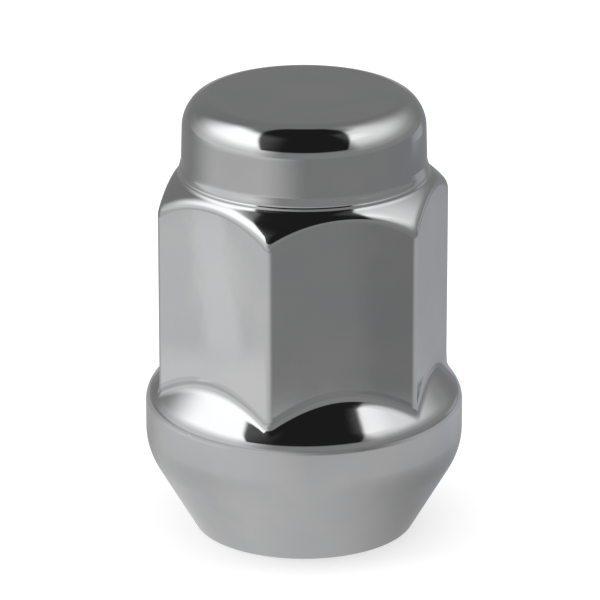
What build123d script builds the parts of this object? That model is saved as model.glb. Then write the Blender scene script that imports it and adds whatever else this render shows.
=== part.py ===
from build123d import *
import os
from math import radians, sqrt, tan

# Closed-end lug nut with a bulged flange over a conical seat, in millimetres.
# The origin is the middle of the seat end, +Z runs along the thread towards the dome,
# and one flat of the hexagon faces -Y.

overall_height = 35.4

# Wrench hexagon
across_flats = 20.6
corner_rounding = 0.75

# Dome, down from the top of the nut
dome_height = 5.2
dome_foot_diameter = 19.16
dome_draft = 1.75               # degrees, each side
dome_edge_rounding = 2.3

# Flare under the dome, short collar, and the sloping shoulder that cuts the hexagon
flare_height = 0.75
collar_diameter = 19.94
collar_height = 0.3
shoulder_height = 2.25          # from the collar down to the corners of the hexagon
shoulder_edge_rounding = 0.45

# Conical seat and flange, up from the seat end
seat_end_diameter = 17.3
seat_end_bevel = 0.3
seat_angle = 60.0               # included angle of the cone
flange_diameter = 25.0
flange_belt_width = 4.35        # from the end of the cone to the start of the slope
flange_under_rounding = 5.4
flange_rim_rounding = 3.2
flange_slope = 50.0             # degrees from the horizontal, from the rim up to the flats
slope_overlap = 1.0             # how far the slope runs on into the hexagon, to join with it

# Blind hole, drilled for an M12 x 1.5 thread
tap_drill_diameter = 10.5
tap_drill_depth = 26.0
drill_point_angle = 118.0
countersink_diameter = 12.8
countersink_angle = 90.0

flat_distance = across_flats / 2
corner_distance = across_flats / sqrt(3)
flange_radius = flange_diameter / 2
seat_end_radius = seat_end_diameter / 2
seat_rise = 1 / tan(radians(seat_angle / 2))
slope_rise = tan(radians(flange_slope))

# Heights above the seat end
seat_top_height = (flange_radius - seat_end_radius) * seat_rise
rim_height = seat_top_height + flange_belt_width
flat_foot_height = rim_height + (flange_radius - flat_distance) * slope_rise
dome_foot_height = overall_height - dome_height
collar_top_height = dome_foot_height - flare_height
collar_foot_height = collar_top_height - collar_height
shoulder_foot_height = collar_foot_height - shoulder_height

with BuildPart() as lug_nut:
    # Hexagonal bar, from inside the flange to the top, with a flat towards -Y
    with BuildSketch(Plane.XY.offset(rim_height)):
        RegularPolygon(flat_distance, 6, major_radius=False)
        fillet(vertices(), corner_rounding)
    extrude(amount=overall_height - rim_height)

    # The bar is trimmed to a sloping shoulder, a short collar, a flare and a flat-topped dome
    dome_top_radius = dome_foot_diameter / 2 - dome_height * tan(radians(dome_draft))
    with BuildSketch(Plane.YZ):
        with BuildLine():
            Polyline(
                (0, 0),
                (corner_distance, 0),
                (corner_distance, shoulder_foot_height),
                (collar_diameter / 2, collar_foot_height),
                (collar_diameter / 2, collar_top_height),
                (dome_foot_diameter / 2, dome_foot_height),
                (dome_top_radius, overall_height),
                (0, overall_height),
                close=True,
            )
        make_face()
        dome_edge = vertices().sort_by_distance((dome_top_radius, overall_height))[0]
        fillet(dome_edge, dome_edge_rounding)
    revolve(axis=Axis.Z, mode=Mode.INTERSECT)

    # The scalloped edges where the shoulder cuts the flats are softened all round
    scallops = edges().filter_by(GeomType.HYPERBOLA) + edges().filter_by(GeomType.BSPLINE)
    fillet(scallops, shoulder_edge_rounding)

    # Flange: the seat cone, a soft turn up into the belt, the rim, and a slope up to the flats
    bevel_foot = (seat_end_radius - seat_end_bevel, 0)
    bevel_top = (seat_end_radius + seat_end_bevel / seat_rise, seat_end_bevel)
    slope_end = (flat_distance - slope_overlap, flat_foot_height + slope_overlap * slope_rise)
    with BuildSketch(Plane.YZ):
        with BuildLine():
            Polyline(slope_end, (0, slope_end[1]), (0, 0), bevel_foot, bevel_top)
            FilletPolyline(
                bevel_top,
                (flange_radius, seat_top_height),
                (flange_radius, rim_height),
                slope_end,
                radius=[flange_under_rounding, flange_rim_rounding],
            )
        make_face()
    revolve(axis=Axis.Z)

    # Blind hole: a countersunk mouth, the drilled wall for the thread and the drill's point
    hole_radius = tap_drill_diameter / 2
    mouth_radius = countersink_diameter / 2
    mouth_depth = (mouth_radius - hole_radius) / tan(radians(countersink_angle / 2))
    point_length = hole_radius / tan(radians(drill_point_angle / 2))
    with BuildSketch(Plane.YZ):
        with BuildLine():
            Polyline(
                (0, 0),
                (mouth_radius, 0),
                (hole_radius, mouth_depth),
                (hole_radius, tap_drill_depth),
                (0, tap_drill_depth + point_length),
                close=True,
            )
        make_face()
    revolve(axis=Axis.Z, mode=Mode.SUBTRACT)

lug_nut.part.label = "lug_nut"
os.makedirs("parts", exist_ok=True)
export_step(lug_nut.part, "parts/lug_nut.step")
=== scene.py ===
from math import cos, pi, radians, sin, sqrt, tan

import bmesh
import bpy
import numpy as np
from mathutils import Matrix, Vector

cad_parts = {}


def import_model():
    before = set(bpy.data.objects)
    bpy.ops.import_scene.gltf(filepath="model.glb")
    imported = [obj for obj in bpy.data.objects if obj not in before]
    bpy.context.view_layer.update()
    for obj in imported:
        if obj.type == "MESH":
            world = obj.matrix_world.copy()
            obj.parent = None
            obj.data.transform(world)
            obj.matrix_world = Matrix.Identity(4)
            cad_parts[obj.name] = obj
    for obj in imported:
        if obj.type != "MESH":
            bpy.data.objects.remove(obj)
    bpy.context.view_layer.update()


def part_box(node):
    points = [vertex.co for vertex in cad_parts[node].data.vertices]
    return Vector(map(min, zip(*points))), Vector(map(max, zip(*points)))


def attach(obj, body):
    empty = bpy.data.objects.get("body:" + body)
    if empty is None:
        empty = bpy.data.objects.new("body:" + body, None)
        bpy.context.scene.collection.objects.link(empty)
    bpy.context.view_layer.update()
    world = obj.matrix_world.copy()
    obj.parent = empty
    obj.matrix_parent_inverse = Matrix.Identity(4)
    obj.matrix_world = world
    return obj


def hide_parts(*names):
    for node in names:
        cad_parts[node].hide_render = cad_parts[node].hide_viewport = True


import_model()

# A chrome lug nut on a pale floor, under soft studio light. Lengths are in metres.
mm = 0.001
_, high_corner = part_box("lug_nut")
overall_height = high_corner[2]
flange_radius = high_corner[0]

# Wrench hexagon, with one flat towards -Y
side_count = 6
sector = 2 * pi / side_count
half_sector = sector / 2
first_flat = -pi / 2
flat_distance = 10.3 * mm
corner_rounding = 0.75 * mm
corner_centre_distance = (flat_distance - corner_rounding) / cos(half_sector)
flat_half_angle = np.arctan2((flat_distance - corner_rounding) * tan(half_sector), flat_distance)
corner_half_angle = half_sector - flat_half_angle

# Conical seat and flange
seat_end_radius = 8.65 * mm
seat_end_rounding = 0.3 * mm
seat_half_angle = radians(30)
flange_under_rounding = 5.4 * mm
flange_belt_width = 4.35 * mm
flange_rim_rounding = 2.2 * mm
flange_slope = radians(50)
flat_foot_blend = 0.38 * mm
seat_top_height = (flange_radius - seat_end_radius) / tan(seat_half_angle)
rim_height = seat_top_height + flange_belt_width
rim_start_height = rim_height - flange_rim_rounding * tan((pi / 2 - flange_slope) / 2)

# Shoulder that cuts the hexagon, collar with its groove, and flare
shoulder_foot = (11.87 * mm, 27.0 * mm)
shoulder_head = (9.85 * mm, 29.0 * mm)
shoulder_bow_radius = 9.0 * mm
shoulder_blend = 0.5 * mm
collar_radius = 9.76 * mm
collar_height = 29.46 * mm
collar_lean = radians(5)
flare_lean = radians(16)
collar_blend = 0.06 * mm
collar_hollow = 0.2 * mm
groove_height = 29.41 * mm
groove_depth = 0.035 * mm
groove_reach_above = 0.06 * mm
groove_reach_below = 0.08 * mm

# Dome: a leaning wall, an edge of two roundings with a 45 degree bevel between, a slight crown
dome_foot_radius = 9.58 * mm
dome_foot_height = 30.08 * mm
dome_lean = radians(1.75)
dome_side_rounding = 2.8 * mm
dome_top_rounding = 1.95 * mm
dome_bevel_angle = pi / 4
dome_crown = 0.03 * mm

# Blind hole with its M12 x 1.5 thread
mouth_radius = 6.4 * mm
mouth_rounding = 0.15 * mm
countersink_lead = 0.5 * mm         # only gives the outline's first run its 45 degrees
countersink_blend = 0.05 * mm
thread_pitch = 1.5 * mm
thread_root_radius = 6.02 * mm
thread_crest_radius = 5.25 * mm
thread_flank_rise = 1.6             # 1 over the share of the pitch that the flanks take up
thread_crest_flat = 0.25            # width of the flat crest as a share of the flanks'
thread_end_height = 24.0 * mm
hole_depth = 26.0 * mm
drill_point_angle = radians(118)

# Columns of the mesh over each flat and round each corner
flat_columns = 24
corner_columns = 14

# Rows of the mesh along each straight run and round the corner that follows it
base_rows = [(0, 6), (3, 8), (10, 16), (4, 0)]
dome_rows = [(8, 14), (1, 14), (14, 0)]

# Rows of the mesh from the rim to the dome: over the slope, the flats' feet, the flats, their
# heads, the shoulder, the groove, and the collar with the flare
side_rows = [20, 10, 16, 14, 28, 28, 18]
foot_search = 5 * mm                # the feet of the flats are lower over the rim than this
head_search = 1 * mm                # and their heads are lower under the shoulder's foot
foot_reach = 0.15 * mm              # closer rows go on for this much either side of the feet
head_reach = 0.8 * mm               # and start this much under the heads
groove_rows_start = groove_height - 0.4 * mm
groove_rows_end = collar_height + 0.08 * mm
wall_rows_start = dome_foot_height + 0.3 * mm

# Rows of the mesh in the hole
thread_rows_a_turn = 12
first_thread_row = 0.12 * mm
bottom_row = hole_depth - 0.05 * mm


def turned(points, roundings, counts):
    """Points and outward normals along a turned outline of straight runs and rounded corners."""
    points = [np.array(point, float) for point in points]
    places, normals = [], []
    start = points[0]
    for index, rounding in enumerate(roundings):
        corner, following = points[index + 1], points[index + 2]
        incoming = (corner - points[index]) / np.linalg.norm(corner - points[index])
        outgoing = (following - corner) / np.linalg.norm(following - corner)
        crossed = incoming[0] * outgoing[1] - incoming[1] * outgoing[0]
        turn = np.arctan2(crossed, incoming @ outgoing)
        run_end = corner - incoming * rounding * tan(abs(turn) / 2)
        straight_count, round_count = counts[index]
        for share in np.linspace(0, 1, straight_count, endpoint=False):
            places.append(start + (run_end - start) * share)
            normals.append(np.array([incoming[1], -incoming[0]]))
        side = np.array([-incoming[1], incoming[0]]) * np.sign(turn)
        centre = run_end + side * rounding
        for share in np.linspace(0, 1, round_count):
            bend = turn * share
            turned_side = np.array([
                side[0] * cos(bend) - side[1] * sin(bend),
                side[0] * sin(bend) + side[1] * cos(bend),
            ])
            places.append(centre - turned_side * rounding)
            normals.append(-turned_side * np.sign(turn))
        start = places.pop()
        normals.pop()
    last = points[-1]
    along = (last - start) / np.linalg.norm(last - start)
    for share in np.linspace(0, 1, counts[-1][0]):
        places.append(start + (last - start) * share)
        normals.append(np.array([along[1], -along[0]]))
    return np.array(places), np.array(normals)


def smaller(first, second, blend):
    """The smaller of two radii, with the edge between them rounded over."""
    nearness = np.maximum(blend - np.abs(first - second), 0) / blend
    return np.minimum(first, second) - nearness ** 2 * blend / 4


def larger(first, second, blend):
    """The larger of two radii, with the hollow between them filled."""
    return -smaller(-first, -second, blend)


def hexagon_radius(angle):
    """Distance from the axis to the side of the hexagon, whose corners are rounded."""
    off_flat = (angle - first_flat + half_sector) % sector - half_sector
    off_corner = half_sector - np.abs(off_flat)
    across_corner = corner_centre_distance * np.sin(off_corner)
    inside = np.maximum(corner_rounding ** 2 - across_corner ** 2, 0)
    rounded = corner_centre_distance * np.cos(off_corner) + np.sqrt(inside)
    return np.where(off_corner < corner_half_angle, rounded, flat_distance / np.cos(off_flat))


def bow_centre():
    """Centre of the arc that bows the shoulder outwards between its foot and its head."""
    foot, head = np.array(shoulder_foot), np.array(shoulder_head)
    chord = foot - head
    half = np.linalg.norm(chord) / 2
    inwards = np.array([chord[1], -chord[0]]) / (2 * half)
    return (foot + head) / 2 + inwards * sqrt(shoulder_bow_radius ** 2 - half ** 2)


def slope_radius(height):
    """Top of the flange: the rounded rim, then the straight slope up to the flats."""
    slope = flange_radius - (height - rim_height) / tan(flange_slope)
    rim_rise = flange_rim_rounding * cos(flange_slope)
    above_start = np.clip(height - rim_start_height, 0, rim_rise)
    inwards = flange_rim_rounding - np.sqrt(flange_rim_rounding ** 2 - above_start ** 2)
    return np.where(above_start < rim_rise, flange_radius - inwards, slope)


def shoulder_radius(height):
    """Turned outline above the hexagon: shoulder, groove, collar, flare and dome wall."""
    centre = bow_centre()
    above_centre = np.maximum(height - centre[1], 0)
    bow = centre[0] + np.sqrt(np.maximum(shoulder_bow_radius ** 2 - above_centre ** 2, 0))
    collar = collar_radius - (height - collar_height) * tan(collar_lean)
    flare = collar_radius - (height - collar_height) * tan(flare_lean)
    wall = dome_foot_radius - (height - dome_foot_height) * tan(dome_lean)
    reach = np.where(height > groove_height, groove_reach_above, groove_reach_below)
    groove = groove_depth * np.exp(-((height - groove_height) / reach) ** 2)
    above = larger(wall, smaller(flare, collar, collar_blend), collar_blend) - groove
    return larger(above, bow, collar_hollow)


def body_radius(angle, height):
    """Outside of the nut from the flange's rim to the dome's wall."""
    footed = larger(hexagon_radius(angle), slope_radius(height), flat_foot_blend)
    return smaller(footed, shoulder_radius(height), shoulder_blend)


def crossing(curve, radius, low, high):
    """Height between low and high at which a falling curve passes a radius."""
    low = np.full_like(radius, low)
    high = np.full_like(radius, high)
    halvings = 50
    for _ in range(halvings):
        middle = (low + high) / 2
        outside = curve(middle) > radius
        low = np.where(outside, middle, low)
        high = np.where(outside, high, middle)
    return (low + high) / 2


def column_angles():
    """Angles of the mesh's columns, closer together where the hexagon's corners turn."""
    over_flat = np.linspace(-flat_half_angle, flat_half_angle, flat_columns, endpoint=False)
    over_corner = half_sector + np.linspace(
        -corner_half_angle, corner_half_angle, corner_columns, endpoint=False
    )
    one_side = np.concatenate([over_flat, over_corner])
    return np.concatenate([one_side + sector * side + first_flat for side in range(side_count)])


def turned_rows(points, roundings, counts, angles):
    """Rows of a surface of revolution, as radius, height and normal for every column."""
    places, normals = turned(points, roundings, counts)
    shape = (len(places), len(angles))
    radius = np.broadcast_to(places[:, :1], shape)
    height = np.broadcast_to(places[:, 1:], shape)
    outward = np.broadcast_to(normals[:, :1], shape)
    upward = np.broadcast_to(normals[:, 1:], shape)
    return radius, height, np.stack([outward, np.zeros(shape), upward], -1)


def shaped_rows(surface, heights, angles, facing=1):
    """Rows of a surface given as a radius over angle and height, with its true normals."""
    step = 1e-4
    reach = step * mm
    radius = surface(angles, heights)
    by_angle = (surface(angles + step, heights) - surface(angles - step, heights)) / (2 * step)
    by_height = (surface(angles, heights + reach) - surface(angles, heights - reach)) / (2 * reach)
    normals = facing * np.stack([np.ones_like(radius), -by_angle / radius, -by_height], -1)
    return radius, heights, normals / np.linalg.norm(normals, axis=-1, keepdims=True)


def outer_base(angles):
    """From the mouth of the hole over the flat ring and the conical seat to the rim's start."""
    return turned_rows(
        [
            (mouth_radius - countersink_lead, countersink_lead),
            (mouth_radius, 0),
            (seat_end_radius, 0),
            (flange_radius, seat_top_height),
            (flange_radius, rim_start_height),
        ],
        [mouth_rounding, seat_end_rounding, flange_under_rounding],
        base_rows,
        angles,
    )


def outer_sides(angles):
    """From the rim over the slope, the flats and the shoulder to the dome's wall."""
    side = hexagon_radius(angles)
    foot = crossing(slope_radius, side, rim_height, rim_height + foot_search)
    head = crossing(shoulder_radius, side, shoulder_foot[1] - head_search, shoulder_head[1])
    knots = [
        rim_start_height,
        foot - foot_reach,
        foot + foot_reach,
        head - head_reach,
        head,
        groove_rows_start,
        groove_rows_end,
        wall_rows_start,
    ]
    knots = [np.broadcast_to(knot, side.shape) for knot in knots]
    heights = []
    for low, high, count in zip(knots, knots[1:], side_rows):
        for share in np.linspace(0, 1, count, endpoint=False):
            heights.append(low + (high - low) * share)
    heights.append(knots[-1])
    return shaped_rows(body_radius, np.array(heights)[1:], angles)


def outer_dome(angles):
    """From the dome's wall over its edge to the middle of its top."""
    wall_radius = dome_foot_radius - (wall_rows_start - dome_foot_height) * tan(dome_lean)
    bevel = (
        dome_side_rounding * tan((dome_bevel_angle - dome_lean) / 2)
        + dome_top_rounding * tan(dome_bevel_angle / 2)
    ) * sin(dome_bevel_angle)
    side_height = overall_height - dome_crown - bevel
    side_radius = dome_foot_radius - (side_height - dome_foot_height) * tan(dome_lean)
    rows = turned_rows(
        [
            (wall_radius, wall_rows_start),
            (side_radius, side_height),
            (side_radius - bevel, overall_height - dome_crown),
            (0, overall_height),
        ],
        [dome_side_rounding, dome_top_rounding],
        dome_rows,
        angles,
    )
    return [part[1:-1] for part in rows]


def hole_radius(angle, height):
    """The tapped hole: a helical thread that fades out towards the bottom, and a countersink."""
    turn = (height / thread_pitch - angle / (2 * pi)) % 1
    ridge = np.clip(thread_flank_rise * np.abs(2 * turn - 1) - thread_crest_flat, 0, 1)
    fading = np.clip((thread_end_height - height) / thread_pitch, 0, 1)
    depth = (thread_root_radius - thread_crest_radius) * fading
    threaded = thread_crest_radius + depth * ridge
    countersink = mouth_radius - height
    return larger(threaded, countersink, countersink_blend)


def hole_rows(angles):
    """The bare inside of the blind hole, from its bottom down to its mouth."""
    tapped = np.arange(first_thread_row, thread_end_height, thread_pitch / thread_rows_a_turn)
    plain = [bottom_row, (hole_depth + thread_end_height) / 2]
    heights = np.concatenate([plain, tapped[::-1]])
    return shaped_rows(hole_radius, heights[:, None] * np.ones_like(angles), angles, facing=-1)


def nut_mesh():
    """One closed mesh: the hole's rows, then the plated outside's rows, and a fan at each end."""
    angles = column_angles()
    parts = [hole_rows(angles), outer_base(angles), outer_sides(angles), outer_dome(angles)]
    radius, height, normal = [np.concatenate(rows) for rows in zip(*parts)]
    across, along = np.cos(angles), np.sin(angles)
    places = np.stack([radius * across, radius * along, height], -1).reshape(-1, 3)
    facing = np.stack([
        normal[..., 0] * across - normal[..., 1] * along,
        normal[..., 0] * along + normal[..., 1] * across,
        normal[..., 2],
    ], -1).reshape(-1, 3)
    rows, columns = radius.shape
    index = np.arange(rows * columns).reshape(rows, columns)
    following = np.roll(index, -1, axis=1)
    quads = np.stack([index[:-1], following[:-1], following[1:], index[1:]], -1).reshape(-1, 4)
    bottom, crown = len(places), len(places) + 1
    drill_point_length = thread_crest_radius * tan((pi - drill_point_angle) / 2)
    drill_point = (0, 0, hole_depth + drill_point_length)
    places = np.concatenate([places, [drill_point, (0, 0, overall_height)]])
    facing = np.concatenate([facing, [(0, 0, -1), (0, 0, 1)]])
    fans = [(bottom, following[0, k], index[0, k]) for k in range(columns)]
    fans += [(index[-1, k], following[-1, k], crown) for k in range(columns)]
    mesh = bpy.data.meshes.new("lug_nut_body")
    mesh.from_pydata(places.tolist(), [], quads.tolist() + fans)
    hole_face_count = len(parts[0][0]) * columns
    slots = np.zeros(len(mesh.polygons), int)
    slots[:hole_face_count] = 1
    slots[len(quads):len(quads) + columns] = 1
    mesh.polygons.foreach_set("material_index", slots)
    mesh.polygons.foreach_set("use_smooth", np.ones(len(mesh.polygons), bool))
    mesh.update()
    mesh.normals_split_custom_set_from_vertices(facing.tolist())
    return mesh


class Shades:
    """Shorthand for working out a shade with a material's or world's nodes."""

    def __init__(self, tree):
        self.tree = tree

    def node(self, kind):
        return self.tree.nodes.new(kind)

    def link(self, output, entry):
        self.tree.links.new(output, entry)

    def feed(self, node, values):
        for entry, value in zip(node.inputs, values):
            if isinstance(value, bpy.types.NodeSocket):
                self.link(value, entry)
            else:
                entry.default_value = value

    def worked_out(self, operation, *values):
        node = self.node("ShaderNodeMath")
        node.operation = operation
        self.feed(node, values)
        return node.outputs[0]

    def product(self, *values):
        result = values[0]
        for value in values[1:]:
            result = self.worked_out("MULTIPLY", result, value)
        return result

    def scaled(self, value, factor, base):
        """The value times the factor, added to the base."""
        return self.worked_out("MULTIPLY_ADD", value, factor, base)

    def opposite(self, value):
        return self.worked_out("SUBTRACT", 1.0, value)

    def either(self, first, second):
        return self.opposite(self.product(self.opposite(first), self.opposite(second)))

    def ramp(self, value, start, end):
        """0 where the value is at start, 1 where it is at end, eased; start may be the larger."""
        node = self.node("ShaderNodeMapRange")
        node.interpolation_type = "SMOOTHSTEP"
        self.feed(node, (value, start, end, 0.0, 1.0))
        return node.outputs[0]

    def band(self, value, start, full, fall, end):
        """A rise from 0 at start to 1 at full, and a fall from 1 at fall to 0 at end."""
        return self.product(self.ramp(value, start, full), self.ramp(value, end, fall))

    def noise(self, stretch, scale, detail):
        """Noise over the object's coordinates, each first multiplied by its own stretch.

        The scale is per metre.
        """
        mapping = self.node("ShaderNodeMapping")
        mapping.inputs["Scale"].default_value = stretch
        self.link(self.node("ShaderNodeTexCoord").outputs["Object"], mapping.inputs["Vector"])
        node = self.node("ShaderNodeTexNoise")
        self.link(mapping.outputs[0], node.inputs["Vector"])
        node.inputs["Scale"].default_value = scale
        node.inputs["Detail"].default_value = detail
        return node.outputs[0]

    def colour_between(self, value, start, end, first, second):
        """The first colour where the value is at start, easing to the second at end."""
        node = self.node("ShaderNodeValToRGB")
        node.color_ramp.interpolation = "EASE"
        stops = zip(node.color_ramp.elements, (start, end), (first, second))
        for stop, position, colour in stops:
            stop.position = position
            stop.color = (*colour, 1)
        self.link(value, node.inputs[0])
        return node.outputs[0]

    def bumped(self, height, depth, normal=None):
        """The normal of a surface whose height varies by up to the depth, on another normal."""
        node = self.node("ShaderNodeBump")
        node.inputs["Distance"].default_value = depth
        self.link(height, node.inputs["Height"])
        if normal is not None:
            self.link(normal, node.inputs["Normal"])
        return node.outputs[0]

    def seen_directly(self):
        """1 for camera, glossy and transmission rays, 0 for light that spreads."""
        path = self.node("ShaderNodeLightPath").outputs
        seen = self.worked_out("MAXIMUM", path["Is Camera Ray"], path["Is Glossy Ray"])
        return self.worked_out("MAXIMUM", seen, path["Is Transmission Ray"])

    def coordinates(self):
        """The point's three coordinates in the object: across, away from its front, and up."""
        split = self.node("ShaderNodeSeparateXYZ")
        self.link(self.node("ShaderNodeTexCoord").outputs["Object"], split.inputs[0])
        return split.outputs

    def distance(self, across, away):
        """How far the point is from the object's upright axis."""
        squares = self.worked_out("ADD", self.product(across, across), self.product(away, away))
        return self.worked_out("SQRT", squares)

    def azimuth(self, across, away):
        """The point's bearing in degrees, 0 towards the front and larger to the right."""
        front = self.product(away, -1.0)
        return self.worked_out("DEGREES", self.worked_out("ARCTAN2", across, front))

    def elevation(self, distance, up):
        """How high the point stands over the horizon, in degrees."""
        return self.worked_out("DEGREES", self.worked_out("ARCTAN2", up, distance))


def metal(name):
    """A metal material, with its shades and its shader."""
    material = bpy.data.materials.new(name)
    material.use_nodes = True
    shader = material.node_tree.nodes["Principled BSDF"]
    shader.inputs["Metallic"].default_value = 1
    return material, Shades(material.node_tree), shader


def chrome():
    """Bright plating: faint smears and polishing lines in its gloss, orange peel and ripples."""
    plate_roughness, smear_roughness, line_roughness = 0.035, 0.05, 0.03
    ripple_depth, peel_depth = 5e-6, 1.8e-6
    material, shades, shader = metal("chrome_plate")
    smears = shades.noise(stretch=(1, 1, 1), scale=240, detail=3)
    lines = shades.noise(stretch=(0.02, 0.02, 1), scale=7000, detail=2)
    peel = shades.noise(stretch=(1, 1, 1), scale=1100, detail=1)
    ripples = shades.noise(stretch=(1, 1, 0.15), scale=420, detail=0)
    colour = shades.colour_between(
        smears, start=0.35, end=0.7, first=(0.545, 0.55, 0.56), second=(0.575, 0.575, 0.575)
    )
    smeared = shades.ramp(smears, start=0.42, end=0.72)
    gloss = shades.scaled(smeared, smear_roughness, plate_roughness)
    shades.link(colour, shader.inputs["Base Color"])
    shades.link(shades.scaled(lines, line_roughness, gloss), shader.inputs["Roughness"])
    rippled = shades.bumped(ripples, ripple_depth)
    shades.link(shades.bumped(peel, peel_depth, rippled), shader.inputs["Normal"])
    return material


def bare_steel():
    """Dull cut steel in the tapped hole, ringed by drill and tap, darker where oil has stayed."""
    cut_roughness, stain_roughness, ring_roughness = 0.2, 0.25, 0.15
    ring_depth = 1.5e-5
    material, shades, shader = metal("tapped_steel")
    stains = shades.noise(stretch=(1, 1, 1), scale=500, detail=4)
    rings = shades.noise(stretch=(0.03, 0.03, 1), scale=11000, detail=3)
    colour = shades.colour_between(
        stains, start=0.35, end=0.65, first=(0.2, 0.185, 0.17), second=(0.42, 0.41, 0.4)
    )
    gloss = shades.scaled(stains, stain_roughness, cut_roughness)
    shades.link(colour, shader.inputs["Base Color"])
    shades.link(shades.scaled(rings, ring_roughness, gloss), shader.inputs["Roughness"])
    shades.link(shades.bumped(rings, ring_depth), shader.inputs["Normal"])
    return material


def lug_nut():
    piece = bpy.data.objects.new("lug_nut_body", nut_mesh())
    bpy.context.scene.collection.objects.link(piece)
    piece.data.materials.append(chrome())
    piece.data.materials.append(bare_steel())
    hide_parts("lug_nut")
    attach(piece, "root")


# Camera with a long lens
view_azimuth = radians(-16.6)
view_elevation = radians(20.3)
view_distance = 392.4 * mm
target_height = 17.17 * mm
frame_pixels = 600
pixels_per_metre = 12728
target_pixel = (304.1, 315.0)
sensor_millimetres = 36
nearest_seen = 10 * mm

# Floor, world and lamps
floor_reach = 3.0
floor_grey = 0.72
floor_roughness = 0.7
floor_lift = 0.46
world_level = 0.85
lamp_distance = 0.6
lamp_size = 0.4

# Tent: where its parts start, are full, fall and end, in degrees, and how bright they are.
# Azimuth 0 is the camera's side, and plus is to the right.
tent_radius = 0.8
tent_segments = 64
tent_level = 0.265
left_panel_width = (-138, -94, -52, -18)
left_panel_top = (68, 54)
left_panel_level = 0.57
left_panel_rise = (7, 33)
left_panel_gain = 0.95
right_panel_width = (42, 58, 92, 166)
right_panel_height = (6, 42, 62, 73)
right_panel_level = 0.92
right_core_width = (46, 58, 66, 95)
right_core_height = (40, 46, 54, 60)
right_core_level = 0.3
backdrop_width = (166, 176)
backdrop_top = (12, -4)
backdrop_level = 0.5
skirt_width = (150, 120)
skirt_top = (20, 14)
skirt_level = 0.075

# Dark opening over the nut: its edges as shares of the height over the table
opening_taper = 0.72
opening_sides = (0.42, 0.32)
opening_back = (0.42, 0.3)
opening_front = (18, 21)            # degrees of elevation
opening_depth = 0.93

# Glowing card on the table, seen only in reflections, whose painted light and shade go by azimuth
# in degrees and by distance from the nut's axis
card_height = 0.05 * mm
card_hole = (0.0084, 0.0088)
card_level = 0.3
card_gain = 0.5
card_left_width = (-130, -85, -40, 5)
card_left_level = 0.9
card_left_dip = (0.08, 0.1)
card_left_dip_gain = -0.2
card_left_far = (0.12, 0.35)
card_left_far_gain = 0.3
dark_corner_width = (-20, 22, 42, 85)
dark_corner_start = (0.036, 0.05)
near_edge = (0.1, 0.08)
near_level = 0.55
close_edge = (0.045, 0.03)
close_gain = 0.15
near_right_fall = (115, 150)
near_left_rise = (-140, -95)
near_side_share = 0.5               # of the light that stays at either side
far_right_width = (112, 125, 136, 147)
far_right_reach = (0.104, 0.122, 0.4, 0.6)
far_right_gain = 0.2
card_blue_width = (60, 120, 160, 179)
card_white = (1, 1, 1)
card_blue = (0.93, 0.96, 1.0)

# Darker parts of the card, by a depth, and lighter parts, by a gain; the two shadows are painted
# shadows of the nut beside it
right_shadow_width = (0, 75, 125, 165)
right_shadow_edge = (0.04, 0.014)
right_shadow_depth = 0.45
left_shadow_width = (-175, -120, -60, 0)
left_shadow_edge = (0.036, 0.02)
left_shadow_depth = 0.16
strip_width = (-0.0122, -0.011, -0.0092, -0.008)
strip_start = (-0.03, -0.04)
strip_reach = (0.05, 0.056, 0.09, 0.1)
strip_gain = 0.2
wedge_width = (31.5, 34, 40, 60)
wedge_reach = (0.04, 0.045, 0.09, 0.1)
wedge_depth = 0.16
patch_width = (-115, -95, -60, -38)
patch_reach = (0.034, 0.04, 0.048, 0.056)
patch_gain = 0.16


def direction(azimuth, elevation):
    """The way from the nut out to an azimuth and elevation. Azimuth 0 is -Y."""
    return Vector((
        sin(azimuth) * cos(elevation),
        -cos(azimuth) * cos(elevation),
        sin(elevation),
    ))


def facing_back(thing, towards, place):
    """Puts a lamp or camera at the place, looking back along the way out to it."""
    turn = towards.to_track_quat("Z", "Y").to_matrix().to_4x4()
    thing.matrix_world = Matrix.Translation(place) @ turn


def camera():
    lens = bpy.data.cameras.new("camera")
    view = bpy.data.objects.new("camera", lens)
    bpy.context.scene.collection.objects.link(view)
    towards = direction(view_azimuth, view_elevation)
    facing_back(view, towards, Vector((0, 0, target_height)) + towards * view_distance)
    lens.sensor_width = sensor_millimetres
    lens.lens = lens.sensor_width * view_distance * pixels_per_metre / frame_pixels
    lens.shift_x = (frame_pixels / 2 - target_pixel[0]) / frame_pixels
    lens.shift_y = (target_pixel[1] - frame_pixels / 2) / frame_pixels
    lens.clip_start = nearest_seen
    bpy.context.scene.camera = view


def staged(name, mesh, material):
    thing = bpy.data.objects.new(name, mesh)
    bpy.context.scene.collection.objects.link(thing)
    mesh.materials.append(material)
    return thing


def for_reflections(thing):
    """Turns a stage object to face the camera and leaves it to reflections alone."""
    thing.rotation_euler.z = view_azimuth
    thing.visible_camera = False
    thing.visible_diffuse = False
    thing.visible_transmission = False
    thing.visible_volume_scatter = False
    thing.visible_shadow = False


def glow(name):
    """A material that only glows, with its shades and the emission node."""
    material = bpy.data.materials.new(name)
    material.use_nodes = True
    nodes = material.node_tree.nodes
    nodes.remove(nodes["Principled BSDF"])
    shades = Shades(material.node_tree)
    emission = shades.node("ShaderNodeEmission")
    shades.link(emission.outputs[0], nodes["Material Output"].inputs["Surface"])
    return material, shades, emission


def blended(material, share, first, second):
    """Gives the material a surface that goes from the first shader to the second by the share."""
    shades = Shades(material.node_tree)
    blend = shades.node("ShaderNodeMixShader")
    shades.feed(blend, (share, first.outputs[0], second.outputs[0]))
    output = material.node_tree.nodes["Material Output"]
    shades.link(blend.outputs[0], output.inputs["Surface"])


def square(name, reach, height=0.0):
    mesh = bpy.data.meshes.new(name)
    signs = ((-1, -1), (1, -1), (1, 1), (-1, 1))
    mesh.from_pydata([(x * reach, y * reach, height) for x, y in signs], [], [(0, 1, 2, 3)])
    return mesh


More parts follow.
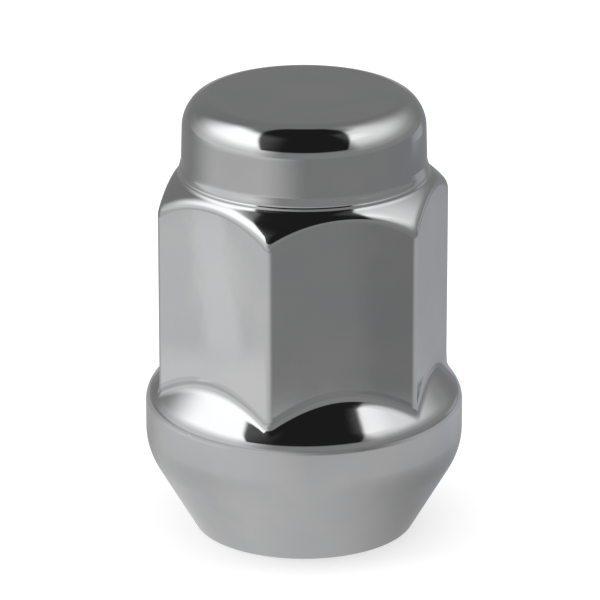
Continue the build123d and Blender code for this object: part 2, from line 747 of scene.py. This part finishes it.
def floor():
    """Pale floor that keeps the nut's shadow, looks white elsewhere and is clear from below."""
    material = bpy.data.materials.new("white_floor")
    material.use_nodes = True
    shades = Shades(material.node_tree)
    shader = material.node_tree.nodes["Principled BSDF"]
    shader.inputs["Base Color"].default_value = (floor_grey, floor_grey, floor_grey, 1)
    shader.inputs["Roughness"].default_value = floor_roughness
    shader.inputs["Specular IOR Level"].default_value = 0
    shader.inputs["Emission Color"].default_value = (1, 1, 1, 1)
    lift = shades.product(shades.seen_directly(), floor_lift)
    shades.link(lift, shader.inputs["Emission Strength"])
    from_below = shades.node("ShaderNodeNewGeometry").outputs["Backfacing"]
    blended(material, from_below, shader, shades.node("ShaderNodeBsdfTransparent"))
    staged("floor", square("floor", floor_reach), material)


def tent():
    """White tent over the table: a bright panel on the left, a dimmer one with a brighter core
    on the right, a low backdrop, a slightly lighter skirt, and a dark opening over the nut."""
    mesh = bpy.data.meshes.new("tent")
    form = bmesh.new()
    bmesh.ops.create_uvsphere(
        form, u_segments=tent_segments, v_segments=tent_segments // 2, radius=tent_radius
    )
    below = [vert for vert in form.verts if vert.co.z < -mm]
    bmesh.ops.delete(form, geom=below, context="VERTS")
    form.to_mesh(mesh)
    form.free()
    material, shades, emission = glow("tent")
    across, away, up = shades.coordinates()
    azimuth = shades.azimuth(across, away)
    elevation = shades.elevation(shades.distance(across, away), up)
    off_front = shades.worked_out("ABSOLUTE", azimuth)

    left_panel = (
        shades.product(
            shades.band(azimuth, *left_panel_width), shades.ramp(elevation, *left_panel_top)
        ),
        shades.scaled(shades.ramp(elevation, *left_panel_rise), left_panel_gain, left_panel_level),
    )
    right_panel = (
        shades.product(
            shades.band(azimuth, *right_panel_width), shades.band(elevation, *right_panel_height)
        ),
        right_panel_level,
    )
    right_core = (
        shades.product(
            shades.band(azimuth, *right_core_width), shades.band(elevation, *right_core_height)
        ),
        right_core_level,
    )
    backdrop = (
        shades.product(
            shades.ramp(off_front, *backdrop_width), shades.ramp(elevation, *backdrop_top)
        ),
        backdrop_level,
    )
    skirt = (
        shades.product(shades.ramp(elevation, *skirt_top), shades.ramp(off_front, *skirt_width)),
        skirt_level,
    )
    lit = tent_level
    for share, level in (left_panel, right_panel, right_core, backdrop, skirt):
        lit = shades.scaled(share, level, lit)

    sideways = shades.worked_out("ABSOLUTE", shades.worked_out("DIVIDE", across, up))
    behind = shades.worked_out("DIVIDE", away, up)
    outwards = shades.worked_out("ADD", sideways, shades.product(behind, opening_taper))
    opening = shades.product(
        shades.ramp(outwards, *opening_sides),
        shades.ramp(behind, *opening_back),
        shades.ramp(elevation, *opening_front),
    )
    strength = shades.product(lit, shades.opposite(shades.product(opening, opening_depth)))
    shades.link(strength, emission.inputs["Strength"])
    for_reflections(staged("tent", mesh, material))


def table_card():
    """Glowing card on the table, seen only in reflections, with the table's light and shade
    painted
    into its glow: lighter on the left, near the nut and far behind on the right, darker at the
    front right, with painted shadows of the nut close beside it, and clear under the nut."""
    material, shades, emission = glow("table_card")
    across, away, _ = shades.coordinates()
    azimuth = shades.azimuth(across, away)
    distance = shades.distance(across, away)

    left_level = shades.scaled(
        shades.ramp(distance, *card_left_dip), card_left_dip_gain, card_left_level
    )
    left_level = shades.scaled(
        shades.ramp(distance, *card_left_far), card_left_far_gain, left_level
    )
    left = shades.product(shades.band(azimuth, *card_left_width), left_level)
    dark_corner = shades.product(
        shades.band(azimuth, *dark_corner_width), shades.ramp(distance, *dark_corner_start)
    )
    right_fall = shades.product(shades.ramp(azimuth, *near_right_fall), near_side_share)
    near = shades.product(
        shades.ramp(distance, *near_edge),
        shades.opposite(dark_corner),
        shades.scaled(shades.ramp(distance, *close_edge), close_gain, near_level),
        shades.opposite(right_fall),
        shades.scaled(shades.ramp(azimuth, *near_left_rise), near_side_share, near_side_share),
    )
    far_right = shades.product(
        shades.band(azimuth, *far_right_width), shades.band(distance, *far_right_reach)
    )
    light = shades.scaled(shades.either(left, near), card_gain, card_level)
    light = shades.scaled(far_right, far_right_gain, light)

    # Painted shadows of the nut on the table, close beside it on the right and on the left
    right_shadow = shades.product(
        shades.band(azimuth, *right_shadow_width), shades.ramp(distance, *right_shadow_edge)
    )
    left_shadow = shades.product(
        shades.band(azimuth, *left_shadow_width), shades.ramp(distance, *left_shadow_edge)
    )
    strip = shades.product(
        shades.band(away, *strip_width),
        shades.ramp(across, *strip_start),
        shades.band(distance, *strip_reach),
    )
    wedge = shades.product(
        shades.band(azimuth, *wedge_width), shades.band(distance, *wedge_reach)
    )
    patch = shades.product(
        shades.band(azimuth, *patch_width), shades.band(distance, *patch_reach)
    )
    tones = (
        (right_shadow, right_shadow_depth),
        (left_shadow, left_shadow_depth),
        (strip, -strip_gain),
        (wedge, wedge_depth),
        (patch, -patch_gain),
    )
    for share, depth in tones:
        light = shades.product(light, shades.opposite(shades.product(share, depth)))
    shades.link(light, emission.inputs["Strength"])
    blueness = shades.band(azimuth, *card_blue_width)
    colour = shades.colour_between(blueness, 0, 1, card_white, card_blue)
    shades.link(colour, emission.inputs["Color"])
    clear = shades.node("ShaderNodeBsdfTransparent")
    blended(material, shades.ramp(distance, *card_hole), clear, emission)
    for_reflections(staged("table_card", square("table_card", tent_radius, card_height), material))


def lamp(name, azimuth, elevation, power):
    light = bpy.data.lights.new(name, "AREA")
    light.size = lamp_size
    light.energy = power
    thing = bpy.data.objects.new(name, light)
    bpy.context.scene.collection.objects.link(thing)
    towards = direction(azimuth, elevation)
    facing_back(thing, towards, towards * lamp_distance)
    thing.visible_glossy = False


def world():
    """White where it is seen, and a little dimmer as a light."""
    setting = bpy.data.worlds.new("studio")
    setting.use_nodes = True
    bpy.context.scene.world = setting
    shades = Shades(setting.node_tree)
    background = setting.node_tree.nodes["Background"]
    background.inputs["Color"].default_value = (1, 1, 1, 1)
    level = shades.scaled(shades.seen_directly(), 1 - world_level, world_level)
    shades.link(level, background.inputs["Strength"])


lug_nut()
camera()
floor()
tent()
table_card()
lamp("left_lamp", azimuth=radians(-95), elevation=radians(45), power=0.7)
lamp("right_lamp", azimuth=radians(75), elevation=radians(50), power=0.5)
world()
bpy.context.scene.view_settings.view_transform = "Standard"
